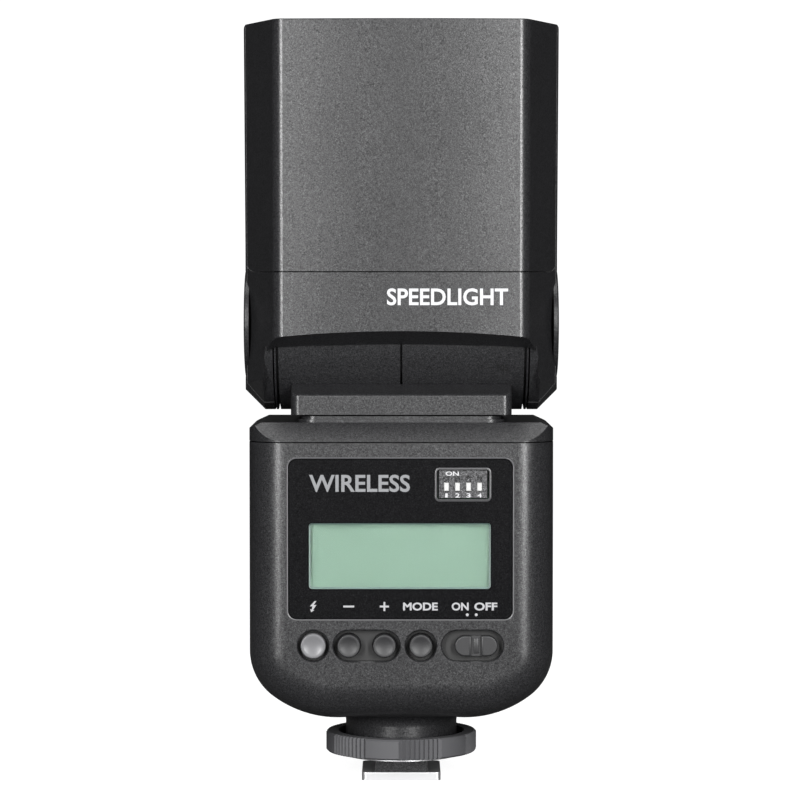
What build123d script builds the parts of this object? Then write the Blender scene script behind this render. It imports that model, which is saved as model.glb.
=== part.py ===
"""Shoe-mount speedlight flash: a battery body with a control panel, a swivel drum and a tilting head.

Frame: millimetres. +Z is up along the flash when its head points straight up, +Y is towards the
subject and -Y is the operator's side with the display. The origin is the centre of the foot's
bottom face, where the flash sits in an accessory shoe. All pieces are drawn at rest: the head
upright, the lock ring open, the power switch at OFF and the battery door shut.
"""

import math
import os

from build123d import *

os.makedirs("parts", exist_ok=True)

# ---------------------------------------------------------------- driving dimensions
# Accessory shoe foot
foot_width = 18.6
foot_length = 18.0
foot_thickness = 2.0
pedestal_width = 12.4

# Body
body_width = 70.6
body_rear = -26.0
body_front = 25.0
body_bottom = 16.4
deck_z = 85.2
body_wall = 2.2

# Tilt drum
axis_height = 22.6  # of the tilt axis above the deck
drum_radius = 20.4
drum_half = 28.5

# Head
head_width = 73.7
lens_end_width = 74.3
head_rear = -26.5
lens_end_front = 27.0
head_height = 70.1  # of the lens end above the tilt axis
head_wall = 1.8

# Fits
running_gap = 0.06  # radial clearance of a turning shaft
slide_gap = 0.15  # clearance round a sliding piece
seam_gap = 0.25  # shadow line between two covers
press_gap = 0.02  # clearance of a fixed pin or screw in its hole

axis_z = deck_z + axis_height
head_top = axis_z + head_height


# ---------------------------------------------------------------- helpers
def facing_rear(y):
    """A sketch plane at this y that is drawn in X and Z and extrudes towards the operator, -Y."""
    return Plane.XZ.offset(-y)


def block(low, high, mode=Mode.ADD):
    """A box between two opposite corners."""
    middle = tuple((a + b) / 2 for a, b in zip(low, high))
    with Locations(middle):
        Box(*[b - a for a, b in zip(low, high)], mode=mode)


def rod(start, direction, radius, length, mode=Mode.ADD):
    """A cylinder that starts at a point and runs along a direction."""
    with Locations(Plane(origin=start, z_dir=direction)):
        Cylinder(radius, length, align=(Align.CENTER, Align.CENTER, Align.MIN), mode=mode)


def save(part, name):
    part.label = name
    export_step(part, f"parts/{name}.step")


# ================================================================ body casing
body_half = body_width / 2
corner_start_z = 32.1  # where the straight side turns into the lower corner
corner_mid = (body_half - 5.4, 21.3)
bottom_start = (12.0, body_bottom)
rear_radius = 8.5
front_radius = 6.0
cap_z = deck_z - 4.3  # seam between the shells and the top cap
rear_bevel = 4.4  # how far the deck's rear and front edges are set in
side_bevel = 3.0
side_bevel_height = 1.4
body_seam_y = -9.0  # seam between the rear and front shells


def body_outline():
    """The body seen from behind: straight sides, round lower corners and a shallow bowl below."""
    with BuildLine() as outline:
        side = Line((body_half, deck_z), (body_half, corner_start_z))
        corner = TangentArc(side @ 1, corner_mid, tangent=side % 1)
        low = TangentArc(corner @ 1, bottom_start, tangent=corner % 1)
        Line(low @ 1, (0, body_bottom))
        Line((0, deck_z), side @ 0)
        mirror(about=Plane.YZ)
    make_face(outline.edges())


def body_form(inset):
    """The body's outer form, or with an inset the hollow that leaves walls of that thickness."""
    with BuildPart() as form:
        with BuildSketch(facing_rear(body_front - inset)):
            body_outline()
            if inset:
                offset(amount=-inset)
        extrude(amount=body_front - body_rear - 2 * inset)
        for y, radius in ((body_rear + inset, rear_radius), (body_front - inset, front_radius)):
            rim = form.edges().filter_by_position(Axis.Y, y - 0.01, y + 0.01)
            fillet(rim.filter_by(lambda e: e.center().Z < deck_z - inset - 1), radius - inset)
        with BuildSketch(Plane.YZ.offset(-body_half)):
            Polygon(
                (body_rear, 0), (body_rear, cap_z), (body_rear + rear_bevel, deck_z),
                (body_front - rear_bevel, deck_z), (body_front, cap_z), (body_front, 0), align=None,
            )
            if inset:
                offset(amount=-inset, kind=Kind.INTERSECTION)
        extrude(amount=body_width, mode=Mode.INTERSECT)
        with BuildSketch(facing_rear(body_front)):
            Polygon(
                (-body_half, 0), (-body_half, deck_z - side_bevel_height), (side_bevel - body_half, deck_z),
                (body_half - side_bevel, deck_z), (body_half, deck_z - side_bevel_height), (body_half, 0),
                align=None,
            )
            if inset:
                offset(amount=-inset, kind=Kind.INTERSECTION)
        extrude(amount=body_front - body_rear, mode=Mode.INTERSECT)
    return form.part


body_outer = body_form(0)
body_hollow = body_form(body_wall)
body_room = body_form(body_wall + 0.3)  # what fits inside without touching a wall

# ---- sizes of what opens the casing
neck_radius = 13.2
neck_flare_z = 13.2  # where the neck starts to widen into the body
base_plug_radius = 17.0  # the shoe base passes up through this hole
flange_radius = 19.5
flange_lift = 0.35
flange_thickness = 2.0
stem_radius = 9.0
collar_height = 1.4
collar_half_x = 24.0
collar_rear = -21.0

# control panel
panel_low = (-26.0, 40.1)
panel_high = (25.6, 77.0)
panel_radius = 1.9
overlay_thickness = 1.0
overlay_sink = 0.15
screen_low = (-21.3, 47.0)
screen_high = (20.6, 62.2)
screen_radius = 0.8
dip_window_low = (7.8, 67.3)
dip_window_high = (20.6, 74.9)
dip_centre = (14.2, 71.2)
dip_size = (11.2, 6.6)

# controls under the panel
controls_z = 33.9
test_x = -20.3
minus_x = -12.1
plus_x = -3.9
mode_x = 4.5
switch_x = 17.25  # the knob's middle at OFF
switch_travel = 2.1
test_radius = 2.9
button_radius = 2.7
well_radius = 3.6
knob_length = 9.9
knob_height = 4.7
switch_well_x = 16.4
switch_well_length = 14.2
well_floor_y = body_rear + body_wall  # the black plate that shows in the wells

# screws through the front shell
screw_spots = ((-27.0, 66.0), (27.0, 66.0), (-27.0, 27.5))
screw_head_radius = 1.9
screw_shank_radius = 1.1
boss_radius = 2.7


def control_wells():
    """The holes in the rear cover for the buttons and the switch, drawn in X and Z."""
    for x in (test_x, mode_x):
        with Locations((x, controls_z)):
            Circle(well_radius)
    with Locations(((minus_x + plus_x) / 2, controls_z)):
        SlotCenterToCenter(plus_x - minus_x, 2 * well_radius)
    with Locations((switch_well_x, controls_z)):
        SlotOverall(switch_well_length, 2 * well_radius)


def rounded_window(low, high, radius, grow=0.0):
    """A rounded rectangle between two corners in X and Z, grown by a clearance on every side."""
    with Locations(((low[0] + high[0]) / 2, (low[1] + high[1]) / 2)):
        RectangleRounded(high[0] - low[0] + 2 * grow, high[1] - low[1] + 2 * grow, radius + grow)


with BuildPart() as body_rear_cover:
    add(body_outer)
    add(body_hollow, mode=Mode.SUBTRACT)
    block((-body_half, body_rear, 0), (body_half, body_seam_y, cap_z - seam_gap), mode=Mode.INTERSECT)
    rod((0, 0, 0), (0, 0, 1), base_plug_radius, 30, mode=Mode.SUBTRACT)
    with BuildSketch(facing_rear(body_rear + overlay_sink + overlay_thickness)):
        rounded_window(panel_low, panel_high, panel_radius, slide_gap)
    extrude(amount=overlay_thickness + overlay_sink, mode=Mode.SUBTRACT)
    with BuildSketch(facing_rear(body_rear + body_wall)):
        rounded_window(screen_low, screen_high, screen_radius, 1.4)
        rounded_window(dip_window_low, dip_window_high, 1.0)
        control_wells()
    extrude(amount=body_wall, mode=Mode.SUBTRACT)
    well_rims = body_rear_cover.faces().sort_by(Axis.Y)[0].inner_wires()
    chamfer([e for w in well_rims for e in w.edges() if w.center().Z < panel_low[1]], 0.22)
    for x, z in screw_spots:
        rod((x, body_rear + body_wall - 0.5, z), (0, 1, 0), boss_radius, body_seam_y - body_rear - body_wall)
        pilot_start = (x, body_rear + body_wall + 3, z)
        rod(pilot_start, (0, 1, 0), screw_shank_radius + press_gap, 20, mode=Mode.SUBTRACT)
save(body_rear_cover.part, "body_rear_cover")

# ================================================================ battery door and its bay
door_front = 19.0
door_rear = -6.0
door_top = 79.0
door_travel = 3.5
pin_radius = 0.75
pin_x = corner_mid[0] - 1.3
pin_z = corner_mid[1] + 1.55
knuckle_radius = 1.75
knuckle_gap = 0.5
door_toe = 1.0  # the skin starts this far outboard of the pin, so that it clears the opening as it swings
door_wall = 2.0
grip_rib_count = 6
grip_rib_pitch = 3.53
grip_rib_height = 2.1
grip_rib_proud = 0.5
grip_top_z = 70.4

# jack cover on the other side
cover_rear = -4.0
cover_front = 10.0
cover_low = 27.7
cover_high = 41.4
cover_thickness = 1.3
cover_pivot = (0.75 - body_half, cover_high - 0.75)  # x and z of the hinge along its top
cover_knuckle = 0.6
cover_pin = 0.35
cover_stub = 0.8
jack_y = 3.0
jack_z = 35.0
jack_radius = 3.2
jack_bore = 1.27
jack_depth = 10.0

# sensor window in the front
window_half = 17.0
window_low_z = 58.5
window_high_z = 77.0
window_thickness = 1.6


def body_skin(thickness, y0, y1):
    """The body's skin of this thickness as a band between two y planes."""
    with BuildSketch(facing_rear(y1)) as band:
        body_outline()
        offset(amount=-thickness, mode=Mode.SUBTRACT)
    extrude(band.sketch, amount=y1 - y0)


with BuildPart() as battery_door:
    body_skin(door_wall, door_rear, door_front)
    block((pin_x + door_toe, door_rear, 0), (body_half + 1, door_front, door_top), mode=Mode.INTERSECT)
    door_length = door_front - door_rear
    rod((pin_x, door_rear, pin_z), (0, 1, 0), knuckle_radius, door_length)
    rod((pin_x, door_rear, pin_z), (0, 1, 0), pin_radius + running_gap, door_length, mode=Mode.SUBTRACT)
    fillet(battery_door.edges().filter_by(Axis.Y).sort_by(Axis.Z)[-2:], 0.5)
    with BuildSketch(Plane.YZ.offset(body_half - 0.6)):
        for i in range(grip_rib_count):
            with Locations(((door_rear + door_front) / 2, grip_top_z - i * grip_rib_pitch)):
                SlotOverall(door_front - door_rear - 5, grip_rib_height)
    extrude(amount=0.6 + grip_rib_proud, taper=25)
save(battery_door.part, "battery_door")

with BuildPart() as door_pin:
    rod((pin_x, door_rear - 1.8, pin_z), (0, 1, 0), pin_radius, door_front - door_rear + 3.6)
save(door_pin.part, "door_pin")

with BuildPart() as body_front_cover:
    add(body_outer)
    add(body_hollow, mode=Mode.SUBTRACT)
    front_low = (-body_half, body_seam_y + seam_gap, 0)
    block(front_low, (body_half, body_front, cap_z - seam_gap), mode=Mode.INTERSECT)
    # the door's opening, its knuckle's room and the slots that the pin slides in
    block(
        (pin_x - knuckle_radius - knuckle_gap, door_rear - slide_gap, 0),
        (body_half + 1, door_front + slide_gap, door_top + seam_gap), mode=Mode.SUBTRACT,
    )
    for y0, y1 in ((door_rear - 3.0, door_rear - slide_gap), (door_front + slide_gap, door_front + 3.0)):
        block((pin_x - 2.5, y0, pin_z - door_travel - 2.6), (pin_x + 2.2, y1, pin_z + 1.6))
    add(body_outer, mode=Mode.INTERSECT)
    with BuildSketch(facing_rear(door_front + 2.0)):
        with Locations((pin_x, pin_z - door_travel / 2)):
            SlotCenterToCenter(door_travel, 2 * (pin_radius + running_gap), rotation=90)
    extrude(amount=door_front - door_rear + 4.0, mode=Mode.SUBTRACT)
    # the opening for the neck
    rod((0, 0, 0), (0, 0, 1), base_plug_radius, 30, mode=Mode.SUBTRACT)
    # the recess under the jack cover and the jack's hole
    block(
        (-body_half - 1, cover_rear - slide_gap, cover_low - slide_gap),
        (-body_half + cover_thickness + 0.15, cover_front + slide_gap, cover_high + slide_gap),
        mode=Mode.SUBTRACT,
    )
    rod((-body_half, jack_y, jack_z), (1, 0, 0), jack_radius, 5, mode=Mode.SUBTRACT)
    stub_hole = cover_front - cover_rear + 2 * cover_stub + 0.6
    rod(
        (cover_pivot[0], cover_rear - cover_stub - 0.3, cover_pivot[1]), (0, 1, 0),
        cover_pin + running_gap, stub_hole, mode=Mode.SUBTRACT,
    )
    # the sensor window's opening
    with BuildSketch(facing_rear(body_front)):
        rounded_window((-window_half, window_low_z), (window_half, window_high_z), 2.5)
    extrude(amount=body_wall, mode=Mode.SUBTRACT)
    for x, z in screw_spots:
        boss_length = body_front - body_wall - body_seam_y
        rod((x, body_front - body_wall + 0.5, z), (0, -1, 0), boss_radius, boss_length)
        rod((x, body_front, z), (0, -1, 0), screw_shank_radius + press_gap, 60, mode=Mode.SUBTRACT)
        rod((x, body_front, z), (0, -1, 0), screw_head_radius + 0.15, 2.5, mode=Mode.SUBTRACT)
save(body_front_cover.part, "body_front_cover")

with BuildPart() as body_top_cap:
    add(body_outer)
    add(body_hollow, mode=Mode.SUBTRACT)
    block((-body_half, body_rear, cap_z), (body_half, body_front, deck_z), mode=Mode.INTERSECT)
    for step, height in ((0, collar_height / 2), (0.8, collar_height)):
        with BuildSketch(Plane.XY.offset(deck_z)):
            RectangleRounded(2 * (collar_half_x - step), 2 * (-collar_rear - step), 4.0 - step)
        extrude(amount=height)
    rod((0, 0, deck_z - body_wall), (0, 0, 1), stem_radius + running_gap, 10, mode=Mode.SUBTRACT)
save(body_top_cap.part, "body_top_cap")

with BuildPart() as sensor_window:
    with BuildSketch(facing_rear(body_front - 0.3)):
        rounded_window((-window_half, window_low_z), (window_half, window_high_z), 2.5, -slide_gap)
    extrude(amount=body_wall - 0.3)
    with BuildSketch(facing_rear(body_front - body_wall)):
        rounded_window((-window_half, window_low_z), (window_half, window_high_z), 2.5, 1.2)
    extrude(amount=window_thickness / 2)
save(sensor_window.part, "sensor_window")

with BuildPart() as body_screws:
    for x, z in screw_spots:
        rod((x, body_front - 0.9, z), (0, -1, 0), screw_head_radius, 1.5)
        rod((x, body_front - 2.4, z), (0, -1, 0), screw_shank_radius, 40)
save(body_screws.part, "body_screws")

with BuildPart() as jack_cover:
    body_skin(2 * cover_thickness, cover_rear, cover_front)
    cover_corner = (cover_thickness - body_half, cover_front, cover_pivot[1])
    block((-body_half, cover_rear, cover_low), cover_corner, mode=Mode.INTERSECT)
    rod((cover_pivot[0], cover_rear, cover_pivot[1]), (0, 1, 0), cover_knuckle, cover_front - cover_rear)
    stub_length = cover_front - cover_rear + 2 * cover_stub
    rod((cover_pivot[0], cover_rear - cover_stub, cover_pivot[1]), (0, 1, 0), cover_pin, stub_length)
    lip_low = corner_start_z - 1.0
    block((-body_half - 0.3, cover_rear + 1.5, lip_low), (0.6 - body_half, cover_front - 1.5, lip_low + 1.2))
save(jack_cover.part, "jack_cover")

with BuildPart() as sync_jack:
    jack_mouth = (cover_thickness + 0.3 - body_half, jack_y, jack_z)
    rod(jack_mouth, (1, 0, 0), jack_radius - press_gap, jack_depth + 0.6)
    rod(jack_mouth, (1, 0, 0), jack_bore, jack_depth, mode=Mode.SUBTRACT)
save(sync_jack.part, "sync_jack")

# ================================================================ control panel
with BuildPart() as control_overlay:
    with BuildSketch(facing_rear(body_rear + overlay_sink + overlay_thickness)):
        rounded_window(panel_low, panel_high, panel_radius)
        with BuildSketch(mode=Mode.SUBTRACT):
            rounded_window(screen_low, screen_high, screen_radius)
            rounded_window(dip_window_low, dip_window_high, 1.0)
    extrude(amount=overlay_thickness)
    outer_face = control_overlay.faces().sort_by(Axis.Y)[0]
    chamfer(outer_face.edges(), 0.15)
save(control_overlay.part, "control_overlay")

screen_glass_y = body_rear + overlay_sink + overlay_thickness
screen_glass = 1.2
with BuildPart() as screen_window:
    with BuildSketch(facing_rear(screen_glass_y + screen_glass)):
        rounded_window(screen_low, screen_high, screen_radius, 1.2)
    extrude(amount=screen_glass - 0.02)
save(screen_window.part, "screen_window")

display_thickness = 2.2
with BuildPart() as display_module:
    with BuildSketch(facing_rear(screen_glass_y + screen_glass + display_thickness)):
        rounded_window(screen_low, screen_high, 0.5, 1.0)
    extrude(amount=display_thickness - 0.1)
save(display_module.part, "display_module")

# the black plate behind the wells, which guides the buttons
plate_thickness = 1.2
button_sizes = (
    (test_x, test_radius), (minus_x, button_radius), (plus_x, button_radius), (mode_x, button_radius),
)
with BuildPart() as keypad_plate:
    with BuildSketch(facing_rear(well_floor_y + plate_thickness)):
        rounded_window((test_x - 4.8, controls_z - 5.2), (switch_well_x + 8.4, controls_z + 5.2), 4.0)
        with BuildSketch(mode=Mode.SUBTRACT):
            for x, radius in button_sizes:
                with Locations((x, controls_z)):
                    Circle(radius + slide_gap)
            with Locations((switch_x - switch_travel / 2, controls_z)):
                SlotOverall(4.0 + switch_travel + 2 * slide_gap, 2.0 + 2 * slide_gap)
    extrude(amount=plate_thickness - press_gap)
save(keypad_plate.part, "keypad_plate")

button_proud = 0.7
button_back = well_floor_y + plate_thickness + 1.0
button_travel = 0.7


def push_button(x, radius):
    """A domed cap with a flange behind the keypad plate that keeps it in."""
    with BuildPart() as button:
        rod((x, button_back, controls_z), (0, -1, 0), radius, button_back - body_rear + button_proud)
        fillet(button.faces().sort_by(Axis.Y)[0].edges(), 0.6)
        rod((x, button_back, controls_z), (0, -1, 0), radius + 0.6, 0.8)
    return button.part


for name, x, radius in (
    ("test_button", test_x, test_radius), ("minus_button", minus_x, button_radius),
    ("plus_button", plus_x, button_radius), ("mode_button", mode_x, button_radius),
):
    save(push_button(x, radius), name)

knob_face_y = body_rear - 0.3
with BuildPart() as power_switch:
    with BuildSketch(facing_rear(well_floor_y - slide_gap)):
        with Locations((switch_x, controls_z)):
            SlotOverall(knob_length, knob_height)
    extrude(amount=well_floor_y - slide_gap - knob_face_y)
    fillet(power_switch.faces().sort_by(Axis.Y)[0].edges(), 0.35)
    block(
        (switch_x - 1.25, knob_face_y, controls_z - knob_height),
        (switch_x + 1.25, knob_face_y + 0.9, controls_z + knob_height), mode=Mode.SUBTRACT,
    )
    with BuildSketch(facing_rear(well_floor_y + plate_thickness + 1.0)):
        with Locations((switch_x, controls_z)):
            SlotOverall(4.0, 2.0)
    extrude(amount=plate_thickness + 1.0 + slide_gap)
save(power_switch.part, "power_switch")

board_rear = -18.6
board_thickness = 1.6
with BuildPart() as main_board:
    block((-31.0, board_rear, 26.0), (31.0, board_rear + board_thickness, 78.0))
    for x, z in screw_spots:
        rod((x, board_rear - 1, z), (0, 1, 0), boss_radius + 0.5, 4, mode=Mode.SUBTRACT)
save(main_board.part, "main_board")

tact_height = board_rear - (button_back + button_travel) - 0.1
with BuildPart() as tact_switches:
    solder_y = board_rear - press_gap
    for x in (test_x, minus_x, plus_x, mode_x):
        block((x - 3, board_rear - tact_height + 0.6, controls_z - 3), (x + 3, solder_y, controls_z + 3))
        rod((x, board_rear - tact_height + 0.6, controls_z), (0, -1, 0), 1.7, 0.6)
    block((switch_x - 5.5, board_rear - 2.2, controls_z - 2.5), (switch_x + 4.5, solder_y, controls_z + 2.5))
save(tact_switches.part, "tact_switches")

# ---- the four-way selector with its sliders
dip_pitch = 2.54
dip_face_y = body_rear + overlay_sink + 0.6
dip_slot_width = 1.3
dip_slot_height = 3.6
dip_slot_depth = 1.0
dip_nub_height = 1.9
dip_travel = dip_slot_height - dip_nub_height - 0.4
dip_xs = [dip_centre[0] + (i - 1.5) * dip_pitch for i in range(4)]
with BuildPart() as selector_block:
    block(
        (dip_centre[0] - dip_size[0] / 2, dip_face_y, dip_centre[1] - dip_size[1] / 2),
        (dip_centre[0] + dip_size[0] / 2, board_rear - press_gap, dip_centre[1] + dip_size[1] / 2),
    )
    chamfer(selector_block.faces().sort_by(Axis.Y)[0].edges(), 0.12)
    for x in dip_xs:
        block(
            (x - dip_slot_width / 2, dip_face_y, dip_centre[1] - dip_slot_height / 2),
            (x + dip_slot_width / 2, dip_face_y + dip_slot_depth, dip_centre[1] + dip_slot_height / 2),
            mode=Mode.SUBTRACT,
        )
save(selector_block.part, "selector_block")

for i, x in enumerate(dip_xs):
    nub_low = dip_centre[1] - dip_slot_height / 2 + 0.2
    with BuildPart() as selector_slider:
        half = dip_slot_width / 2 - 0.08
        nub_back = dip_face_y + dip_slot_depth - 0.05
        block((x - half, dip_face_y - 0.35, nub_low), (x + half, nub_back, nub_low + dip_nub_height))
        chamfer(selector_slider.faces().sort_by(Axis.Y)[0].edges(), 0.15)
    save(selector_slider.part, f"selector_slider_{i + 1}")

# ================================================================ battery and power
cell_radius = 7.15
cell_length = 49.5
cell_pitch = 14.9
cell_left = -19.0
tray_wall = 1.0
cell_low_z = pin_z + knuckle_radius + 0.25 + tray_wall + cell_radius  # the tray clears the door's knuckle
cell_rows = (cell_low_z, cell_low_z + cell_pitch)
cell_columns = (-0.2, -0.2 + cell_pitch)
cell_spots = [(y, z) for y in cell_columns for z in cell_rows]

contact_x = cell_left + cell_length + 1.0
with BuildPart() as battery_tray:
    block(
        (cell_left - 4.0, cell_columns[0] - cell_radius - tray_wall, cell_rows[0] - cell_radius - tray_wall),
        (contact_x - 0.3, cell_columns[1] + cell_radius + 0.6, cell_rows[1] + cell_radius + tray_wall),
    )
    add(body_room, mode=Mode.INTERSECT)
    for y, z in cell_spots:
        rod((cell_left - 2.0, y, z), (1, 0, 0), cell_radius + 0.1, 80, mode=Mode.SUBTRACT)
save(battery_tray.part, "battery_tray")

with BuildPart() as battery_cells:
    for y, z in cell_spots:
        rod((cell_left, y, z), (1, 0, 0), cell_radius, cell_length)
        rod((cell_left + cell_length, y, z), (1, 0, 0), 2.7, 1.0)
    fillet(battery_cells.edges().filter_by(GeomType.CIRCLE).filter_by(lambda e: e.radius > 7), 0.5)
save(battery_cells.part, "battery_cells")

with BuildPart() as door_contacts:
    rear_y, front_y = cell_columns[0] - 3.4, cell_columns[1] + 3.4
    for z in cell_rows:
        block((contact_x + 0.05, rear_y, z - 4), (contact_x + 0.4, front_y, z + 4))
    for y, z in cell_spots:
        rod((contact_x + 0.4, y, z), (1, 0, 0), 1.5, body_half - door_wall - contact_x - 0.7)
save(door_contacts.part, "door_contacts")

with BuildPart() as tray_contacts:
    for y, z in cell_spots:
        rod((cell_left - 2.0 + press_gap, y, z), (1, 0, 0), 5.0, 0.6)
        rod((cell_left - 1.4, y, z), (1, 0, 0), 2.5, 1.35)
save(tray_contacts.part, "tray_contacts")

capacitor_radius = 10.0
with BuildPart() as main_capacitor:
    rod((-22.0, 8.0, 67.2), (1, 0, 0), capacitor_radius, 44.0)
    fillet(main_capacitor.edges(), 1.0)
save(main_capacitor.part, "main_capacitor")

with BuildPart() as charge_transformer:
    block((-12.0, -15.5, 58.0), (4.0, -5.0, 74.0))
    fillet(charge_transformer.edges().filter_by(Axis.Y), 1.5)
save(charge_transformer.part, "charge_transformer")

with BuildPart() as light_sensor:
    window_back = body_front - body_wall - window_thickness / 2
    block((-5.0, window_back - 1.8, 63.5), (5.0, window_back - 0.1, 70.5))
save(light_sensor.part, "light_sensor")

# ================================================================ accessory shoe
ring_bottom = 6.05
ring_top = 10.85
ring_radius = 17.9
stub_radius = 11.0
clamp_thickness = 0.8
clamp_radius = 14.0
clamp_travel = 1.8
ring_bore = stub_radius + 0.08
ring_floor_z = 8.6
neck_bottom_z = 9.2
contact_radius = 1.0
contact_bush_radius = 2.6
flange_z = body_bottom + body_wall + flange_lift
foot_screw_radius = 0.8
foot_screw_top = 7.6
foot_screw_spots = [(x, y) for x in (-4.2, 4.2) for y in (-6.0, 6.0)]

with BuildPart() as base_flange:
    rod((0, 0, flange_z), (0, 0, 1), flange_radius, flange_thickness)
    add(body_room, mode=Mode.INTERSECT)

with BuildPart() as shoe_base:
    with BuildSketch(Plane.XZ):
        with BuildLine():
            down = Polyline(
                (base_plug_radius - 0.1, body_bottom), (base_plug_radius - 0.1, flange_z + flange_thickness),
                (0, flange_z + flange_thickness), (0, ring_bottom + 0.1), (stub_radius, ring_bottom + 0.1),
                (stub_radius, neck_bottom_z), (neck_radius, neck_bottom_z), (neck_radius, neck_flare_z),
            )
            TangentArc(down @ 1, down @ 0, tangent=(0, 1))
        make_face()
    revolve(axis=Axis.Z)
    add(base_flange.part)
    rod((0, 0, 0), (0, 0, 1), contact_radius + running_gap, 12, mode=Mode.SUBTRACT)
    for x, y in foot_screw_spots:
        rod((x, y, 0), (0, 0, 1), foot_screw_radius + press_gap, foot_screw_top + 0.3, mode=Mode.SUBTRACT)
save(shoe_base.part, "shoe_base")

with BuildPart() as shoe_pedestal:
    block(
        (-pedestal_width / 2, -foot_length / 2, foot_thickness),
        (pedestal_width / 2, foot_length / 2, ring_bottom + 0.05),
    )
    rod((0, 0, 0.02), (0, 0, 1), contact_bush_radius, 3)
    rod((0, 0, 0), (0, 0, 1), contact_radius + running_gap, 12, mode=Mode.SUBTRACT)
    for x, y in foot_screw_spots:
        rod((x, y, 0), (0, 0, 1), foot_screw_radius + press_gap, foot_screw_top, mode=Mode.SUBTRACT)
save(shoe_pedestal.part, "shoe_pedestal")

with BuildPart() as shoe_foot:
    block((-foot_width / 2, -foot_length / 2, 0), (foot_width / 2, foot_length / 2, foot_thickness))
    fillet(shoe_foot.edges().filter_by(Axis.Z), 1.0)
    fillet(shoe_foot.faces().sort_by(Axis.Z)[-1].edges(), 0.25)
    rod((0, 0, 0), (0, 0, 1), contact_bush_radius + press_gap, foot_thickness, mode=Mode.SUBTRACT)
    for x, y in foot_screw_spots:
        rod((x, y, 0), (0, 0, 1), foot_screw_radius + press_gap, foot_thickness, mode=Mode.SUBTRACT)
        rod((x, y, 0), (0, 0, 1), 1.6, 1.3, mode=Mode.SUBTRACT)
save(shoe_foot.part, "shoe_foot")

with BuildPart() as foot_screws:
    for x, y in foot_screw_spots:
        rod((x, y, 0.15), (0, 0, 1), 1.5, 1.1)
        rod((x, y, 1.25), (0, 0, 1), foot_screw_radius, foot_screw_top - 1.25)
save(foot_screws.part, "foot_screws")

with BuildPart() as centre_contact:
    rod((0, 0, 0.02), (0, 0, 1), contact_radius, 10.5)
    fillet(centre_contact.faces().sort_by(Axis.Z)[0].edges(), 0.4)
save(centre_contact.part, "centre_contact")

with BuildPart() as clamp_plate:
    rod((0, 0, ring_bottom - clamp_thickness - 0.03), (0, 0, 1), clamp_radius, clamp_thickness)
    block(
        (-pedestal_width / 2 - slide_gap, -foot_length / 2 - slide_gap, 0),
        (pedestal_width / 2 + slide_gap, foot_length / 2 + slide_gap, ring_bottom), mode=Mode.SUBTRACT,
    )
save(clamp_plate.part, "clamp_plate")

ring_lobes = 6
teeth_per_group = 9
tooth_angle = 3.7
tooth_depth = 0.7
first_lobe_angle = -15.0
with BuildPart() as lock_ring:
    rod((0, 0, ring_bottom), (0, 0, 1), ring_radius, ring_top - ring_bottom)
    chamfer(lock_ring.edges(), 0.4)
    rod((0, 0, ring_bottom), (0, 0, 1), ring_bore, 10, mode=Mode.SUBTRACT)
    rod((0, 0, ring_floor_z), (0, 0, 1), 15.0, 10, mode=Mode.SUBTRACT)
    with BuildSketch(Plane.XY.offset(ring_bottom)):
        for lobe in range(ring_lobes):
            span = (teeth_per_group - 1) * tooth_angle
            first = lobe * 360 / ring_lobes + first_lobe_angle - span / 2
            with PolarLocations(ring_radius, teeth_per_group, first, span, endpoint=True):
                RegularPolygon(tooth_depth, 4)
    extrude(amount=ring_top - ring_bottom, mode=Mode.SUBTRACT)
save(lock_ring.part, "lock_ring")

# ================================================================ swivel with the tilt drum
swivel_bottom = deck_z + collar_height + 0.35
stem_bottom = deck_z - 6.8
retainer_thickness = 3.3
retainer_radius = 13.0
plinth_half = 25.6
plinth_rear = -21.0
plinth_front = 13.0
drum_top_y = -13.5
plinth_rear_top = swivel_bottom + 4.6
plinth_rise = 2.9  # from its rear edge up to the drum
flange_x = drum_half + 0.6
flange_outer_x = drum_half + 1.0
ear_inner_x = flange_outer_x + 0.35
axle_radius = 4.0
axle_half = 34.8
drum_wall = 1.8
drum_seam = 0.5
drum_lip = 3.0  # how far the right half reaches into the left one
wire_hole_radius = 5.5

with BuildPart() as swivel_base:
    with BuildSketch(Plane.YZ.offset(-plinth_half)):
        Polygon(
            (plinth_rear, swivel_bottom), (plinth_rear, plinth_rear_top),
            (drum_top_y, plinth_rear_top + plinth_rise), (0, plinth_rear_top + plinth_rise),
            (plinth_front, plinth_rear_top), (plinth_front, swivel_bottom), align=None,
        )
    extrude(amount=2 * plinth_half)
    fillet(swivel_base.edges().filter_by(Axis.Z), 2.0)
    rear_top = swivel_base.edges().filter_by(Axis.X).sort_by(Axis.Y)[:2].sort_by(Axis.Z)[-1:]
    fillet(rear_top, 0.6)
    rod((-40, 0, axis_z), (1, 0, 0), drum_radius + 0.1, 80, mode=Mode.SUBTRACT)
    rod((0, 0, stem_bottom), (0, 0, 1), stem_radius, swivel_bottom - stem_bottom + 0.2)
    rod((0, 0, stem_bottom), (0, 0, 1), wire_hole_radius, 30, mode=Mode.SUBTRACT)
save(swivel_base.part, "swivel_base")

with BuildPart() as swivel_retainer:
    retainer_top = deck_z - body_wall - 0.1
    rod((0, 0, retainer_top), (0, 0, -1), retainer_radius, retainer_thickness)
    rod((0, 0, retainer_top), (0, 0, -1), stem_radius + press_gap, retainer_thickness, mode=Mode.SUBTRACT)
save(swivel_retainer.part, "swivel_retainer")


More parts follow.
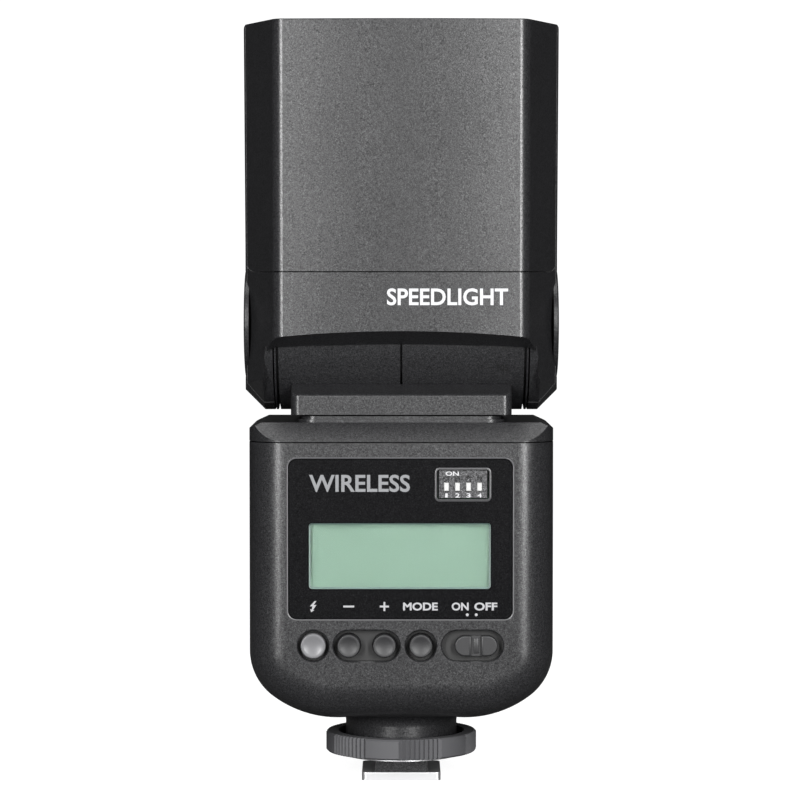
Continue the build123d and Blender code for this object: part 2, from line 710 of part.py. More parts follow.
def drum_cover(side):
    """Half of the drum's shell, on the +X side for 1 and on the -X side for -1."""
    out = (side, 0, 0)
    start = drum_seam / 2
    with BuildPart() as drum:
        rod((side * start, 0, axis_z), out, drum_radius, drum_half - start)
        rod((side * drum_half, 0, axis_z), out, drum_radius - 1.2, flange_x - drum_half)
        rod((side * flange_x, 0, axis_z), out, drum_radius, flange_outer_x - flange_x)
        room = drum_half - start - drum_wall
        rod((side * start, 0, axis_z), out, drum_radius - drum_wall, room, mode=Mode.SUBTRACT)
        if side > 0:
            rod((-drum_lip, 0, axis_z), out, drum_radius - drum_wall - 0.1, 2 * drum_lip)
            rod((-drum_lip, 0, axis_z), out, drum_radius - drum_wall - 1.1, 2 * drum_lip, mode=Mode.SUBTRACT)
            rod((start, 0, axis_z), out, drum_radius - drum_wall + 0.1, 0.5)
            rod((start, 0, axis_z), out, drum_radius - drum_wall - 1.1, 0.5, mode=Mode.SUBTRACT)
        rod((0, 0, axis_z), out, axle_radius + press_gap, 40, mode=Mode.SUBTRACT)
        rod((0, 0, axis_z), (0, 0, -1), wire_hole_radius, 30, mode=Mode.SUBTRACT)
    return drum.part


save(drum_cover(-1), "drum_cover_left")
save(drum_cover(1), "drum_cover_right")

with BuildPart() as tilt_axle:
    rod((-axle_half, 0, axis_z), (1, 0, 0), axle_radius, 2 * axle_half)
    rod((-axle_half, 0, axis_z), (1, 0, 0), axle_radius - 1.2, 2 * axle_half, mode=Mode.SUBTRACT)
save(tilt_axle.part, "tilt_axle")

detent_radius = 8.6
detent_x = 34.0
detent_thickness = 0.8
with BuildPart() as tilt_detents:
    for side in (-1, 1):
        rod((side * detent_x, 0, axis_z), (side, 0, 0), detent_radius, detent_thickness)
    with BuildSketch(Plane.YZ.offset(-40)):
        with Locations((0, axis_z)):
            Circle(axle_radius + press_gap)
            with PolarLocations(detent_radius, 24):
                Circle(0.5)
    extrude(amount=80, mode=Mode.SUBTRACT)
save(tilt_detents.part, "tilt_detents")

# ================================================================ head casing
head_half = head_width / 2
lens_half = lens_end_width / 2
head_front = drum_radius
flare_z = axis_z + 17.2  # above this the head widens towards the lens
crown = 1.2  # how far the middle of the rear face stands proud of its edges
face_half = 29.0
face_corner_radius = 3.0
bevel_depth = 18.0
front_bevel = 5.3
ear_chamfer = 4.6
above_head = head_top + 12  # where cuts that pass the lens end may stop
panel_seam_z = axis_z + 12.2
head_seam_y = -9.0
lens_frame_lip = 0.6
drum_clearance = 0.35
hinge_cap_radius = 13.0
hinge_cap_sink = 1.2
hinge_cap_proud = 0.0


def head_section(half, front, inset=0.0):
    """The head's plan: a crowned rear face, slanted rear corners, flat sides and bevelled front corners."""
    with BuildLine() as plan:
        face_edge_y = head_rear + crown
        rear_face = ThreePointArc((-face_half, face_edge_y), (0, head_rear), (face_half, face_edge_y))
        right = Polyline(
            rear_face @ 1, (half - 0.5, head_rear + bevel_depth), (half, head_rear + bevel_depth + 5),
            (half, front - front_bevel), (half - front_bevel, front), (0, front),
        )
        mirror(right, about=Plane.YZ)
    made = make_face(plan.edges())
    corners = made.vertices()
    fillet(corners.filter_by(lambda v: abs(v.Y - head_rear - crown) < 0.1), face_corner_radius)
    if inset:
        offset(amount=-inset)


with BuildPart() as head_lower_form:
    toe_z = axis_z - 7.3  # where the cheeks' rear edge starts to run in to the round ear
    toe_distance = math.hypot(head_rear, toe_z - axis_z)
    toe_angle = math.atan2(toe_z - axis_z, head_rear) + math.acos(drum_radius / toe_distance)
    ear_end = (drum_radius * math.cos(toe_angle), axis_z + drum_radius * math.sin(toe_angle))
    with BuildSketch(Plane.YZ.offset(-head_half)):
        with BuildLine():
            Polyline(
                (head_front, axis_z), (head_front, flare_z), (head_rear, flare_z), (head_rear, toe_z),
                ear_end,
            )
            ear_middle = (drum_radius * math.sqrt(0.5), axis_z - drum_radius * math.sqrt(0.5))
            ThreePointArc(ear_end, ear_middle, (head_front, axis_z))
        make_face()
    extrude(amount=head_width)
    outer = [
        e for e in head_lower_form.edges()
        if abs(abs(e.center().X) - head_half) < 0.01
        and e.center().Z < flare_z - 1 and e.center().Y > head_rear + 1
    ]
    chamfer(outer, ear_chamfer)
    with BuildSketch(Plane.XY.offset(axis_z - 30)):
        head_section(head_half, head_front + 10)
    extrude(amount=flare_z - axis_z + 30, mode=Mode.INTERSECT)

with BuildPart() as head_upper_form:
    with BuildSketch(Plane.XY.offset(flare_z)):
        head_section(head_half, head_front)
    with BuildSketch(Plane.XY.offset(head_top)):
        head_section(lens_half, lens_end_front)
    loft()

core_bottom = flare_z + 5.0
front_opening_z = axis_z + 14.7  # the upper edge of the drum's opening in the front


def head_size_at(z):
    """Half the head's width and its front's y at a height between the flare and the lens end."""
    share = (z - flare_z) / (head_top - flare_z)
    return head_half + share * (lens_half - head_half), head_front + share * (lens_end_front - head_front)


with BuildPart() as head_hollow:
    with BuildSketch(Plane.XY.offset(core_bottom)):
        head_section(*head_size_at(core_bottom), head_wall)
    with BuildSketch(Plane.XY.offset(head_top)):
        head_section(lens_half, lens_end_front, head_wall)
    loft()

with BuildPart() as head_cavity:
    with BuildSketch(Plane.XY.offset(axis_z + 2)):
        head_section(head_half, head_front, head_wall)
    extrude(amount=core_bottom - axis_z - 2 + 0.5)
    block((-29.0, -30, axis_z), (29.0, 30, core_bottom + 1), mode=Mode.INTERSECT)
    rod((-40, 0, axis_z), (1, 0, 0), drum_radius + drum_clearance + 1.6, 80, mode=Mode.SUBTRACT)
    block((-29.0, 0, axis_z), (29.0, 30, front_opening_z + head_wall), mode=Mode.SUBTRACT)

lip_z = axis_z - 2.4  # the rear lip's lower edge at its ends, at the rear face
lip_rise = 1.0
lip_slope = 0.5
opening_half = 31.8
lip_foot_y = -20.5

with BuildPart() as drum_opening:
    start_y = -30.0
    rise = -lip_slope * (start_y - head_rear)
    with BuildSketch(facing_rear(start_y)):
        with BuildLine():
            sides = Polyline(
                (-opening_half, lip_z + rise), (-opening_half, lip_z - 35),
                (opening_half, lip_z - 35), (opening_half, lip_z + rise),
            )
            ThreePointArc(sides @ 0, (0, lip_z + rise + lip_rise), sides @ 1)
        made = make_face()
        fillet(made.vertices().sort_by(Axis.Y)[-2:], 3.0)
    extrude(amount=12.0, dir=(0, 1, -lip_slope))
    block((-opening_half, lip_foot_y, 0), (opening_half, 0, axis_z - 4.8))
    for side in (-1, 1):
        rod((side * ear_inner_x, 0, axis_z), (side, 0, 0), drum_radius, 5, mode=Mode.SUBTRACT)
    rod((-ear_inner_x, 0, axis_z), (1, 0, 0), drum_radius + drum_clearance, 2 * ear_inner_x)
    block((-ear_inner_x, 0, 0), (ear_inner_x, 30, front_opening_z))

with BuildPart() as head_shell:
    add(head_lower_form.part)
    add(head_upper_form.part)
    add(head_hollow.part, mode=Mode.SUBTRACT)
    add(head_cavity.part, mode=Mode.SUBTRACT)
    add(drum_opening.part, mode=Mode.SUBTRACT)
    block((-60, -40, head_top - lens_frame_lip), (60, 40, above_head), mode=Mode.SUBTRACT)
    for side in (-1, 1):
        rod((side * 25, 0, axis_z), (side, 0, 0), axle_radius + running_gap, 15, mode=Mode.SUBTRACT)
        rod((side * (detent_x - 0.3), 0, axis_z), (side, 0, 0), detent_radius + 0.4, 6, mode=Mode.SUBTRACT)
        cap_floor = (side * (head_half - hinge_cap_sink), 0, axis_z)
        rod(cap_floor, (side, 0, 0), hinge_cap_radius + 0.1, 6, mode=Mode.SUBTRACT)

corner_radius = 2.2


def panel_outline(gap):
    """The rear panel's region in X and Z: all above its lower seam, whose ends turn up at the sides."""
    seam_half = head_half - 0.45
    with BuildLine() as outline:
        low = Line((0, panel_seam_z + gap), (seam_half - corner_radius, panel_seam_z + gap))
        turn = TangentArc(low @ 1, (seam_half - gap, panel_seam_z + corner_radius), tangent=(1, 0))
        Polyline(turn @ 1, (60, panel_seam_z + corner_radius), (60, above_head), (0, above_head))
        mirror(outline.edges(), about=Plane.YZ)
    make_face(outline.edges())


with BuildPart() as head_rear_panel:
    add(head_shell.part)
    block((-60, -40, 0), (60, head_seam_y, above_head), mode=Mode.INTERSECT)
    with BuildSketch(facing_rear(0)):
        panel_outline(seam_gap / 2)
    extrude(amount=40, mode=Mode.INTERSECT)
save(head_rear_panel.part, "head_rear_panel")

with BuildPart() as head_lower_cover:
    add(head_shell.part)
    block((-60, -40, 0), (60, head_seam_y, above_head), mode=Mode.INTERSECT)
    with BuildSketch(facing_rear(0)):
        panel_outline(-seam_gap / 2)
    extrude(amount=40, mode=Mode.SUBTRACT)
save(head_lower_cover.part, "head_lower_cover")

head_screw_spots = [(x, axis_z + 28.2) for x in (-28.0, 28.0)]
with BuildPart() as head_front_cover:
    add(head_shell.part)
    block((-60, head_seam_y + seam_gap, 0), (60, 40, above_head), mode=Mode.INTERSECT)
    for x, z in head_screw_spots:
        rod((x, 21.0, z), (0, -1, 0), boss_radius, 21.0 - head_seam_y - 1)
        rod((x, 30.0, z), (0, -1, 0), screw_shank_radius + press_gap, 50, mode=Mode.SUBTRACT)
        rod((x, 30.0, z), (0, -1, 0), screw_head_radius + 0.15, 10.5, mode=Mode.SUBTRACT)
save(head_front_cover.part, "head_front_cover")

with BuildPart() as head_screws:
    for x, z in head_screw_spots:
        rod((x, 21.0, z), (0, -1, 0), screw_head_radius, 1.5)
        rod((x, 19.5, z), (0, -1, 0), screw_shank_radius, 28)
save(head_screws.part, "head_screws")


with BuildPart() as hinge_caps:
    base_x = head_half - hinge_cap_sink + 0.05
    for side in (-1, 1):
        rod((side * base_x, 0, axis_z), (side, 0, 0), hinge_cap_radius, head_half + hinge_cap_proud - base_x)
    cap_faces = hinge_caps.faces().sort_by(Axis.X)
    chamfer([*cap_faces[0].edges(), *cap_faces[-1].edges()], 0.3)
save(hinge_caps.part, "hinge_caps")

# ================================================================ optics in the head
lens_half_x = 31.0
lens_low_y = -14.5
lens_high_y = 23.4
lens_thickness = 2.0
lens_skirt = 6.0
card_slot_half = 26.6
card_slot_low = -23.9
card_slot_high = -19.9
with BuildPart() as lens_frame:
    with BuildSketch(Plane.XY.offset(head_top - lens_frame_lip)):
        head_section(lens_half - 0.05, lens_end_front - 0.05)
    extrude(amount=lens_frame_lip)
    fillet(lens_frame.faces().sort_by(Axis.Z)[-1].edges(), 0.3)
    skirt_z = head_top - lens_skirt
    with BuildSketch(Plane.XY.offset(skirt_z)):
        head_section(*head_size_at(skirt_z), head_wall + slide_gap)
        with BuildSketch(mode=Mode.SUBTRACT):
            head_section(*head_size_at(skirt_z), head_wall + slide_gap + 0.8)
    extrude(amount=lens_skirt - lens_frame_lip)
    block((-lens_half_x, lens_low_y, skirt_z), (lens_half_x, lens_high_y, above_head), mode=Mode.SUBTRACT)
    slot_corner = (card_slot_half, card_slot_high, above_head)
    block((-card_slot_half, card_slot_low, skirt_z), slot_corner, mode=Mode.SUBTRACT)
save(lens_frame.part, "lens_frame")

with BuildPart() as flash_lens:
    block(
        (-lens_half_x + 0.1, lens_low_y + 0.1, head_top - 0.3 - lens_thickness),
        (lens_half_x - 0.1, lens_high_y - 0.1, head_top - 0.3),
    )
    fillet(flash_lens.edges().filter_by(Axis.Z), 0.6)
    fillet(flash_lens.faces().sort_by(Axis.Z)[-1].edges(), 0.3)
save(flash_lens.part, "flash_lens")

reflector_top = head_top - 0.3 - lens_thickness - 0.2
reflector_bottom = head_top - 26.9
tube_z = reflector_bottom + 4.5
tube_y = 4.4
tube_radius = 2.4


def reflector_form(inset):
    """The reflector's funnel; the inset one is its inside."""
    with BuildPart() as funnel:
        with BuildSketch(Plane.XY.offset(reflector_bottom + inset)):
            with Locations((0, tube_y)):
                Rectangle(52 - 2 * inset, 9 - 2 * inset)
        with BuildSketch(Plane.XY.offset(reflector_bottom + 9)):
            with Locations((0, tube_y)):
                Rectangle(56 - 2 * inset, 24 - 2 * inset)
        with BuildSketch(Plane.XY.offset(reflector_top)):
            with Locations((0, tube_y)):
                Rectangle(60 - 2 * inset, 37 - 2 * inset)
        loft()
    return funnel.part


with BuildPart() as reflector:
    add(reflector_form(0))
    add(reflector_form(0.6), mode=Mode.SUBTRACT)
    rod((-40, tube_y, tube_z), (1, 0, 0), tube_radius + 0.3, 80, mode=Mode.SUBTRACT)
save(reflector.part, "reflector")

with BuildPart() as flash_tube:
    rod((-31.0, tube_y, tube_z), (1, 0, 0), tube_radius, 62.0)
    fillet(flash_tube.edges(), 1.0)
save(flash_tube.part, "flash_tube")

with BuildPart() as tube_holders:
    for x in (-30.4, 30.4):
        block((x - 1.4, tube_y - 4.5, tube_z - 4.5), (x + 1.4, tube_y + 4.5, tube_z + 4.5))
    rod((-40, tube_y, tube_z), (1, 0, 0), tube_radius + press_gap, 80, mode=Mode.SUBTRACT)
save(tube_holders.part, "tube_holders")

coil_z = flare_z + 14.5
with BuildPart() as trigger_board:
    block((-23.0, 10.0, flare_z + 7.0), (23.0, 11.6, reflector_bottom - 2.5))
save(trigger_board.part, "trigger_board")

with BuildPart() as trigger_coil:
    rod((6.0, 3.5, coil_z), (1, 0, 0), 5.0, 14.0)
    for x in (4.8, 20.0):
        rod((x, 3.5, coil_z), (1, 0, 0), 6.2, 1.2)
save(trigger_coil.part, "trigger_coil")

# ---- the two pull-out panels, stored behind the rear panel
card_bottom = head_top - 44.9
guide_bottom = card_bottom - 1.5
guide_top = head_top - 7.0
bounce_card_y = (-23.6, -22.7)
wide_panel_y = (-21.9, -20.5)
with BuildPart() as bounce_card:
    block((-25.6, bounce_card_y[0], card_bottom), (25.6, bounce_card_y[1], head_top - 0.4))
    fillet(bounce_card.edges().filter_by(Axis.Y).sort_by(Axis.Z)[-2:], 3.0)
    block((-5.0, bounce_card_y[0] - 0.25, head_top - 3.0), (5.0, bounce_card_y[1], head_top - 0.1))
save(bounce_card.part, "bounce_card")

with BuildPart() as wide_panel:
    block((-26.2, wide_panel_y[0], card_bottom), (26.2, wide_panel_y[1], head_top - 0.4))
    fillet(wide_panel.edges().filter_by(Axis.Y).sort_by(Axis.Z)[-2:], 2.0)
    block((-26.2, wide_panel_y[0] - 0.2, head_top - 2.2), (26.2, wide_panel_y[1] + 0.2, head_top - 0.1))
save(wide_panel.part, "wide_panel")

with BuildPart() as card_guide:
    block((-28.0, -19.4, guide_bottom), (28.0, -18.4, guide_top))
    for side in (-1, 1):
        block((side * 26.9 - 0.5, -22.3, guide_bottom), (side * 26.9 + 0.5, -18.4, guide_top))
    block((-26.4, -23.3, guide_bottom), (26.4, -18.4, guide_bottom + 1.1))
save(card_guide.part, "card_guide")
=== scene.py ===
# %% [markdown]
# # Dressing a speedlight flash
# The shapes of this flash come from a CAD model that is already packed as a frame of named nodes. What is
# left is how it looks: moulded plastic with a fine grain, a printed control panel, a display, bright and
# blackened metal, and clear optics. Each step below first says what the real piece is, and then makes it.

# %% Load the frame
import math

import bmesh
import bpy
from mathutils import Matrix, Vector


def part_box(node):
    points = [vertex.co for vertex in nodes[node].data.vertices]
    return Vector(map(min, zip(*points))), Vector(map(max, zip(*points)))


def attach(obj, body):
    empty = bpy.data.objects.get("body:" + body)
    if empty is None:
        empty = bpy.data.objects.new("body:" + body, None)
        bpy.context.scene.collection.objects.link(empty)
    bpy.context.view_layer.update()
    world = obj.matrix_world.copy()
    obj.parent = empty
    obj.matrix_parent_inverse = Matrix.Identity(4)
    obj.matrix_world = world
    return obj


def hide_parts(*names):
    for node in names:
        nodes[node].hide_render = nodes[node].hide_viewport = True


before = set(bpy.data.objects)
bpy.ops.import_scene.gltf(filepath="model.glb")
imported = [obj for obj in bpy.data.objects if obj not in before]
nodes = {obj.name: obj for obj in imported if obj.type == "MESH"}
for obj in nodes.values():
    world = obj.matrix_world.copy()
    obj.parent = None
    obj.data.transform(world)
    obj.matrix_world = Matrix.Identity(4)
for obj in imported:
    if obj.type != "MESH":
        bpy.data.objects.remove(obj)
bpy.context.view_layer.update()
MM = 0.001

# %% [markdown]
# A small product looks right from a little under a metre through a long lens, which keeps its upright lines
# upright. The camera stands at about two thirds of the flash's height and looks down by two degrees.

# %% Camera
camera_tilt = 2.21  # degrees below level
camera = bpy.data.objects.new("camera", bpy.data.cameras.new("camera"))
bpy.context.scene.collection.objects.link(camera)
camera.data.lens = 138.9
camera.data.sensor_width = 36
camera.data.clip_start = 0.01
camera.location = (-0.0003, -0.734, 0.1179)
camera.rotation_euler = (math.radians(90 - camera_tilt), 0, 0)
bpy.context.scene.camera = camera
print("camera", tuple(round(v, 4) for v in camera.location))

# %% [markdown]
# The studio is a pale table that sweeps up behind the flash. The sweep is one profile extruded sideways. It
# starts as a row of points through the bend, which extrude_edge_only turns into a sheet.

# %% Table and backdrop
def verts_of(made):
    """The vertices among what an operator made."""
    return [g for g in made if isinstance(g, bmesh.types.BMVert)]


floor_mesh = bmesh.new()
table_front, table_back, table_half, backdrop_top = -1.6, 0.9, 2.5, 3.0
bend, bend_steps = 0.7, 16
profile = [(table_front, 0.0), (table_back, 0.0)]
for step in range(1, bend_steps + 1):
    turn = math.radians(90 * step / bend_steps)
    profile.append((table_back + bend * math.sin(turn), bend - bend * math.cos(turn)))
profile.append((table_back + bend, backdrop_top))
rail = [floor_mesh.verts.new((-table_half, y, z)) for y, z in profile]
edges = [floor_mesh.edges.new(pair) for pair in zip(rail, rail[1:])]
made = bmesh.ops.extrude_edge_only(floor_mesh, edges=edges)["geom"]
bmesh.ops.translate(floor_mesh, verts=verts_of(made), vec=(2 * table_half, 0, 0))
bmesh.ops.recalc_face_normals(floor_mesh, faces=floor_mesh.faces)
table = bpy.data.objects.new("table", bpy.data.meshes.new("table"))
floor_mesh.to_mesh(table.data)
floor_mesh.free()
for face in table.data.polygons:
    face.use_smooth = True
bpy.context.scene.collection.objects.link(table)
print("table faces", len(table.data.polygons))

# %% [markdown]
# The casing is nearly black, and its grey is mostly a blurred reflection. So a large, dim soft box stands
# behind the camera for the upright faces, and one hangs overhead for the bevels. Two narrow, bright strips
# stand just beside the first. They draw the upright lines along the rounded corners. Nothing stands beside
# or below the flash, so its flanks and its underside stay dark.

# %% Lights
def soft_box(name, place, aim, size, power):
    """A rectangular soft light that faces a point."""
    light = bpy.data.lights.new(name, "AREA")
    light.shape = "RECTANGLE"
    light.size, light.size_y = size
    light.energy = power
    box = bpy.data.objects.new(name, light)
    box.location = place
    box.rotation_euler = (Vector(aim) - Vector(place)).to_track_quat("-Z", "Y").to_euler()
    bpy.context.scene.collection.objects.link(box)


soft_box("front_box", (0, -1.30, 0.37), (0, 0, 0.37), (0.85, 0.76), 3.2)
soft_box("top_box", (0, -0.10, 1.25), (0, 0, 0.10), (0.8, 0.8), 6.0)
soft_box("left_strip", (-0.42, -0.94, 0.32), (0, 0, 0.10), (0.08, 0.8), 13.0)
soft_box("right_strip", (0.42, -0.94, 0.32), (0, 0, 0.10), (0.08, 0.8), 14.5)

# %% [markdown]
# The table, the backdrop and the room behind them are seen as almost pure white, but they hardly light the
# flash: for any ray that doesn't come straight from the camera they are a dim grey.

# %% Table finish and room
def show_white(tree, dim, bright, out):
    """Mixes two shaders so that the camera sees the bright one and every other ray the dim one."""
    rays = tree.nodes.new("ShaderNodeLightPath")
    blend = tree.nodes.new("ShaderNodeMixShader")
    tree.links.new(rays.outputs["Is Camera Ray"], blend.inputs["Fac"])
    tree.links.new(dim, blend.inputs[1])
    tree.links.new(bright, blend.inputs[2])
    tree.links.new(blend.outputs["Shader"], out)


paper = bpy.data.materials.new("table_paper")
paper.use_nodes = True
tree = paper.node_tree
dim = tree.nodes["Principled BSDF"]
dim.inputs["Base Color"].default_value = (0.05, 0.05, 0.05, 1)
dim.inputs["Roughness"].default_value = 0.9
lit = tree.nodes.new("ShaderNodeBsdfDiffuse")
lit.inputs["Color"].default_value = (0.30, 0.30, 0.30, 1)
glow = tree.nodes.new("ShaderNodeEmission")
glow.inputs["Color"].default_value = (1, 1, 1, 1)
glow.inputs["Strength"].default_value = 0.93
both = tree.nodes.new("ShaderNodeAddShader")
tree.links.new(lit.outputs["BSDF"], both.inputs[0])
tree.links.new(glow.outputs["Emission"], both.inputs[1])
surface = tree.nodes["Material Output"].inputs["Surface"]
show_white(tree, dim.outputs["BSDF"], both.outputs["Shader"], surface)
table.data.materials.append(paper)

world = bpy.data.worlds.new("room")
bpy.context.scene.world = world
world.use_nodes = True
tree = world.node_tree
dim = tree.nodes["Background"]
dim.inputs["Color"].default_value = (0.9, 0.92, 0.95, 1)
dim.inputs["Strength"].default_value = 0.06
bright = tree.nodes.new("ShaderNodeBackground")
bright.inputs["Color"].default_value = (1, 1, 1, 1)
surface = tree.nodes["World Output"].inputs["Surface"]
show_white(tree, dim.outputs["Background"], bright.outputs["Background"], surface)
bpy.context.scene.view_settings.view_transform = "Standard"
print("table finish", paper.name)

# %% [markdown]
# The casing's surface is spark-eroded in the mould: a fine, even grain that scatters the highlights, with
# tiny glints, which are painted highlights put into the colour. Many finishes below use it at other sizes, so
# it is one node group with named inputs. It puts out a height for a bump and a mask of the painted glints.

# %% Grain group
def new_group(name, inputs, outputs):
    """An empty shader node group with value inputs and the outputs asked for."""
    group = bpy.data.node_groups.new(name, "ShaderNodeTree")
    for label, value in inputs.items():
        socket = group.interface.new_socket(label, in_out="INPUT", socket_type="NodeSocketFloat")
        socket.default_value = value
    for label, kind in outputs.items():
        group.interface.new_socket(label, in_out="OUTPUT", socket_type=kind)
    return group, group.nodes.new("NodeGroupInput"), group.nodes.new("NodeGroupOutput")


def join(tree, a, b):
    tree.links.new(a, b)


def math_node(tree, kind, a, b):
    """A Math node whose two inputs are numbers or sockets."""
    node = tree.nodes.new("ShaderNodeMath")
    node.operation = kind
    for socket, value in zip(node.inputs, (a, b)):
        if isinstance(value, (int, float)):
            socket.default_value = value
        else:
            join(tree, value, socket)
    return node.outputs[0]


grain, given, put = new_group(
    "grain_and_painted_glints", {"Size": 2600.0, "Glint": 0.6},
    {"Height": "NodeSocketFloat", "Glints": "NodeSocketFloat"},
)
place = grain.nodes.new("ShaderNodeTexCoord").outputs["Object"]
coarse = grain.nodes.new("ShaderNodeTexNoise")
coarse.inputs["Detail"].default_value = 2.0
join(grain, place, coarse.inputs["Vector"])
join(grain, given.outputs["Size"], coarse.inputs["Scale"])
fine = grain.nodes.new("ShaderNodeTexNoise")
fine.inputs["Detail"].default_value = 0.0
join(grain, place, fine.inputs["Vector"])
join(grain, math_node(grain, "MULTIPLY", given.outputs["Size"], 2.3), fine.inputs["Scale"])
join(grain, math_node(grain, "ADD", coarse.outputs["Fac"], fine.outputs["Fac"]), put.inputs["Height"])
# painted highlight: a mask of the glints that lighten the base colour
painted_glint_mask = grain.nodes.new("ShaderNodeMapRange")
join(grain, given.outputs["Glint"], painted_glint_mask.inputs["From Min"])
painted_glint_mask.inputs["From Max"].default_value = 0.85
join(grain, fine.outputs["Fac"], painted_glint_mask.inputs["Value"])
join(grain, painted_glint_mask.outputs["Result"], put.inputs["Glints"])
print("grain nodes", len(grain.nodes))

# %% [markdown]
# No handled surface is even: there are broad faint patches where it is cleaner or duller. A second group
# gives a soft blotch mask that shifts the roughness a little.

# %% Handling group
handling, given, put = new_group("handling", {"Size": 40.0}, {"Patches": "NodeSocketFloat"})
place = handling.nodes.new("ShaderNodeTexCoord").outputs["Object"]
blotch = handling.nodes.new("ShaderNodeTexNoise")
blotch.inputs["Detail"].default_value = 4.0
join(handling, place, blotch.inputs["Vector"])
join(handling, given.outputs["Size"], blotch.inputs["Scale"])
join(handling, blotch.outputs["Fac"], put.inputs["Patches"])
print("handling nodes", len(handling.nodes))

# %% [markdown]
# A finish is a Principled shader fed by these groups: the base colour varies between two tones, the glints
# lift it as a painted highlight, the patches move the roughness, and the grain drives a small bump.

# %% Finish maker
def finish(
    name, tone, rough, grain_size=2600.0, bump=0.1, painted_glint_lift=0.5, metallic=0.0, patch=0.06, speckle=0.0,
    gloss=0.5,
):
    """A material with grain and handling patches.

    speckle is how far the grain changes tone and gloss, and gloss is how strongly the surface reflects.
    """
    material = bpy.data.materials.new(name)
    material.use_nodes = True
    tree = material.node_tree
    shader = tree.nodes["Principled BSDF"]
    shader.inputs["Metallic"].default_value = metallic
    grained = tree.nodes.new("ShaderNodeGroup")
    grained.node_tree = grain
    grained.inputs["Size"].default_value = grain_size
    handled = tree.nodes.new("ShaderNodeGroup")
    handled.node_tree = handling
    colour = tree.nodes.new("ShaderNodeMix")
    colour.data_type = "RGBA"
    colour.inputs["A"].default_value = (*tone, 1)
    # painted highlight: a lighter copy of the tone where the glints fall
    painted_glint_tone = [min(1, v * (1 + painted_glint_lift) + 0.02 * painted_glint_lift) for v in tone]
    colour.inputs["B"].default_value = (*painted_glint_tone, 1)
    join(tree, grained.outputs["Glints"], colour.inputs["Factor"])
    if speckle:
        pits = tree.nodes.new("ShaderNodeMapRange")
        pits.clamp = False
        pits.inputs["From Min"].default_value = 0.75
        pits.inputs["From Max"].default_value = 1.25
        pits.inputs["To Min"].default_value = 1 - speckle
        pits.inputs["To Max"].default_value = 1 + speckle
        join(tree, grained.outputs["Height"], pits.inputs["Value"])
        shade = tree.nodes.new("ShaderNodeVectorMath")
        shade.operation = "SCALE"
        join(tree, colour.outputs["Result"], shade.inputs[0])
        join(tree, pits.outputs["Result"], shade.inputs["Scale"])
        join(tree, shade.outputs["Vector"], shader.inputs["Base Color"])
        level = math_node(tree, "MULTIPLY", pits.outputs["Result"], gloss)
        join(tree, level, shader.inputs["Specular IOR Level"])
    else:
        join(tree, colour.outputs["Result"], shader.inputs["Base Color"])
        shader.inputs["Specular IOR Level"].default_value = gloss
    spread = tree.nodes.new("ShaderNodeMapRange")
    spread.inputs["To Min"].default_value = rough - patch
    spread.inputs["To Max"].default_value = rough + patch
    join(tree, handled.outputs["Patches"], spread.inputs["Value"])
    join(tree, spread.outputs["Result"], shader.inputs["Roughness"])
    relief = tree.nodes.new("ShaderNodeBump")
    relief.inputs["Strength"].default_value = bump
    relief.inputs["Distance"].default_value = 0.1 * MM
    join(tree, grained.outputs["Height"], relief.inputs["Height"])
    join(tree, relief.outputs["Normal"], shader.inputs["Normal"])
    return material


finish(
    "casing_plastic", (0.0140, 0.0140, 0.0150), 0.31, grain_size=2100.0, bump=0.10, painted_glint_lift=0.4,
    speckle=0.30,
)
finish(
    "panel_black", (0.0028, 0.0029, 0.0033), 0.30, grain_size=2600.0, bump=0.03, painted_glint_lift=0.2,
    speckle=0.3, gloss=0.07,
)
finish("well_black", (0.003, 0.003, 0.0035), 0.55, bump=0.1, gloss=0.03)
finish("key_rubber", (0.018, 0.018, 0.019), 0.42, grain_size=5000.0, bump=0.08, painted_glint_lift=0.1, gloss=0.40)
finish("test_key_plastic", (0.12, 0.12, 0.125), 0.32, grain_size=5000.0, bump=0.03, painted_glint_lift=0.1)
finish("ring_plastic", (0.014, 0.014, 0.015), 0.28, grain_size=2100.0, bump=0.10, speckle=0.2, gloss=0.26)
# painted highlight: a pale grey that stands for light along the panel's edge
finish("bead_painted_highlight", (0.07, 0.07, 0.073), 0.35, grain_size=4200.0, bump=0.05, painted_glint_lift=0.1)
finish(
    "switch_black", (0.030, 0.030, 0.032), 0.40, grain_size=2000.0, bump=0.1, painted_glint_lift=1.5,
    speckle=0.5,
)
finish("bezel_grey", (0.040, 0.040, 0.042), 0.33, grain_size=2600.0, bump=0.05, painted_glint_lift=0.3)
# painted highlight: the pale line along the display window's polished edge
finish("window_painted_highlight", (0.13, 0.20, 0.18), 0.30, grain_size=3600.0, bump=0.02, painted_glint_lift=0.1)
finish("switch_white", (0.42, 0.42, 0.415), 0.40, grain_size=5000.0, bump=0.03, painted_glint_lift=0.02)
finish("inner_black", (0.018, 0.018, 0.019), 0.55, bump=0.2)
finish("rubber_black", (0.022, 0.022, 0.023), 0.65, bump=0.3)
finish("board_green", (0.02, 0.12, 0.05), 0.35, grain_size=900.0, bump=0.05, painted_glint_lift=0.3)
finish("winding_tape", (0.55, 0.36, 0.07), 0.40, grain_size=1500.0, bump=0.05, painted_glint_lift=0.1)
finish("capacitor_sleeve", (0.02, 0.023, 0.045), 0.30, grain_size=3000.0, bump=0.03, painted_glint_lift=0.1)
finish("card_white", (0.80, 0.80, 0.78), 0.50, grain_size=3000.0, bump=0.05, painted_glint_lift=0.02)
finish(
    "foot_metal", (0.19, 0.19, 0.193), 0.40, grain_size=2600.0, bump=0.05, metallic=0.55,
    painted_glint_lift=0.1, speckle=0.15,
)
finish("dark_steel", (0.10, 0.10, 0.105), 0.35, grain_size=3000.0, bump=0.05, metallic=1.0, painted_glint_lift=0.2)
